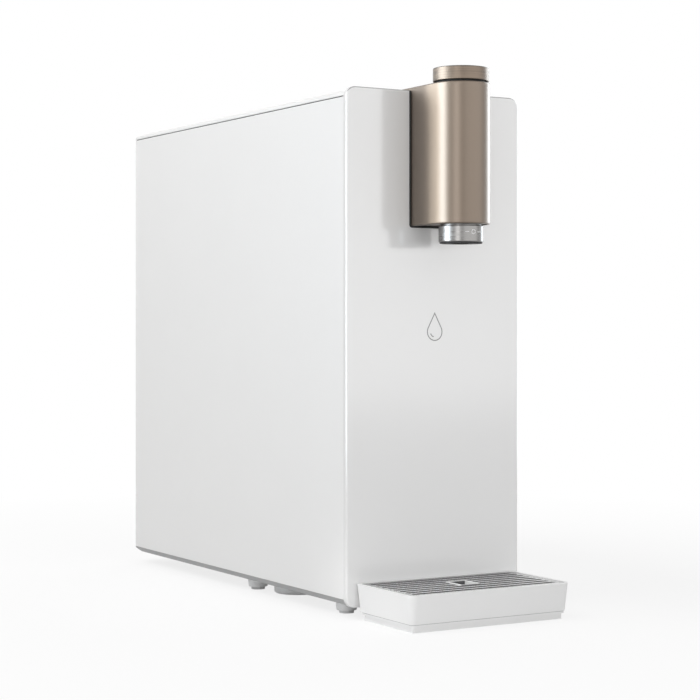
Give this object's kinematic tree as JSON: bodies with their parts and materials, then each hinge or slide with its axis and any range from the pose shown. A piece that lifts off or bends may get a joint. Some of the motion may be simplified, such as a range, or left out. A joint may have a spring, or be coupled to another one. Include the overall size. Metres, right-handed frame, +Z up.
{
  "type": "countertop water purifier",
  "caption": "Slim countertop water purifier with a dial tap over a slotted drip tray, and twist-in filter cartridges under a lift-off lid.",
  "frame": {"origin": "on the counter, at the middle of the whole footprint, drip tray included", "axes": "+Z up, front with the tap towards -Y, +X to the right seen from the front"},
  "size_m": [0.16, 0.486, 0.4227],
  "materials": {
    "gloss_white": "glossy white front panel",
    "satin_white": "fine satin white moulding",
    "base_grey": "matt mid grey moulding",
    "foot_grey": "matt light grey moulding",
    "pad_rubber": "matt grey rubber",
    "champagne_metal": "satin champagne anodised",
    "brushed_ring": "turned champagne, fine rings",
    "brushed_silver": "turned silver, fine rings",
    "black_plastic": "matt black",
    "lens_black": "smoked gloss",
    "grille_grey": "satin silver grey",
    "filter_white": "smooth filter housing",
    "cap_blue": "matt blue cap",
    "cap_slate": "matt slate cap",
    "seal_black": "black seal",
    "manifold_ivory": "natural moulding",
    "sheet_steel": "zinc plated sheet",
    "heater_steel": "drawn steel tube",
    "motor_dark": "dark painted can",
    "tube_white": "translucent white tube",
    "board_green": "circuit board",
    "collet_blue": "blue release collet",
    "collet_grey": "grey release collet"
  },
  "bodies": {
    "housing": {"front_panel": "gloss_white", "left_side_panel": "satin_white", "right_side_panel": "satin_white", "back_panel": "satin_white", "base_pan": "base_grey", "filter_deck": "foot_grey", "chassis_plate": "sheet_steel", "foot_cups": "foot_grey", "foot_pads": "pad_rubber", "tap_shell": "champagne_metal", "tap_bottom_plate": "champagne_metal", "tap_bracket": "sheet_steel", "nozzle_sleeve": "brushed_silver", "nozzle_outlet": "black_plastic", "uv_lamp_board": "board_green", "tap_feed_tube": "tube_white", "knob_bezel": "black_plastic", "knob_encoder": "sheet_steel", "encoder_board": "board_green", "filter_manifold": "manifold_ivory", "pump_motor": "motor_dark", "pump_head": "black_plastic", "pump_bracket": "sheet_steel", "pump_grommets": "seal_black", "pump_tubes": "tube_white", "inlet_valve": "tube_white", "waste_valve": "tube_white", "valve_tubes": "tube_white", "flow_sensor": "black_plastic", "heater_feed_tube": "tube_white", "instant_heater": "heater_steel", "heater_clamps": "sheet_steel", "control_board": "board_green", "power_supply": "sheet_steel", "inlet_fitting": "filter_white", "waste_fitting": "filter_white", "cord_gland": "black_plastic"},
    "lid": {"top_lid": "satin_white"},
    "tray": {"drip_tray": "satin_white", "tray_plinth": "satin_white"},
    "grille": {"drip_grille": "grille_grey", "grille_collar": "satin_white"},
    "press_stem": {"press_plunger": "black_plastic"},
    "knob": {"knob_shaft": "heater_steel", "knob_hub": "black_plastic", "knob_ring": "brushed_ring", "knob_lens": "lens_black"},
    "ro_filter": {"ro_cartridge": "filter_white", "ro_cartridge_cap": "cap_blue", "ro_cartridge_seals": "seal_black"},
    "carbon_filter": {"carbon_cartridge": "filter_white", "carbon_cartridge_cap": "cap_slate", "carbon_cartridge_seals": "seal_black"},
    "drain_plug": {"drain_cap": "foot_grey", "drain_cap_seal": "seal_black"},
    "inlet_release": {"inlet_collet": "collet_blue"},
    "waste_release": {"waste_collet": "collet_grey"}
  },
  "joints": [
    {"name": "lid_lift", "type": "slide", "parent": "housing", "child": "lid", "axis": [0, 0, 1], "range_m": [0, 0.08]},
    {"name": "tray_pull", "type": "slide", "parent": "housing", "child": "tray", "axis": [0, -1, 0], "range_m": [0, 0.12]},
    {"name": "grille_lift", "type": "slide", "parent": "tray", "child": "grille", "axis": [0, 0, 1], "range_m": [0, 0.06]},
    {"name": "knob_press", "type": "slide", "parent": "housing", "child": "press_stem", "axis": [0, 0, -1], "range_m": [0, 0.001], "stiffness_N_per_m": 1500, "springref_m": -0.001},
    {"name": "knob_turn", "type": "hinge", "parent": "press_stem", "child": "knob", "pos_m": [0, -0.2, 0.4111], "axis": [0, 0, 1], "continuous": true},
    {"name": "ro_filter_twist", "type": "hinge", "parent": "housing", "child": "ro_filter", "pos_m": [0, -0.014, 0.06], "axis": [0, 0, 1], "range_deg": [0, 90]},
    {"name": "carbon_filter_twist", "type": "hinge", "parent": "housing", "child": "carbon_filter", "pos_m": [0, 0.08, 0.06], "axis": [0, 0, 1], "range_deg": [0, 90]},
    {"name": "drain_cap_turn", "type": "hinge", "parent": "housing", "child": "drain_plug", "pos_m": [-0.043, -0.018, 0.005], "axis": [0, 0, 1], "range_deg": [-90, 0]},
    {"name": "inlet_collet_push", "type": "slide", "parent": "housing", "child": "inlet_release", "axis": [0, -1, 0], "range_m": [0, 0.0015]},
    {"name": "waste_collet_push", "type": "slide", "parent": "housing", "child": "waste_release", "axis": [0, -1, 0], "range_m": [0, 0.0015]}
  ]
}
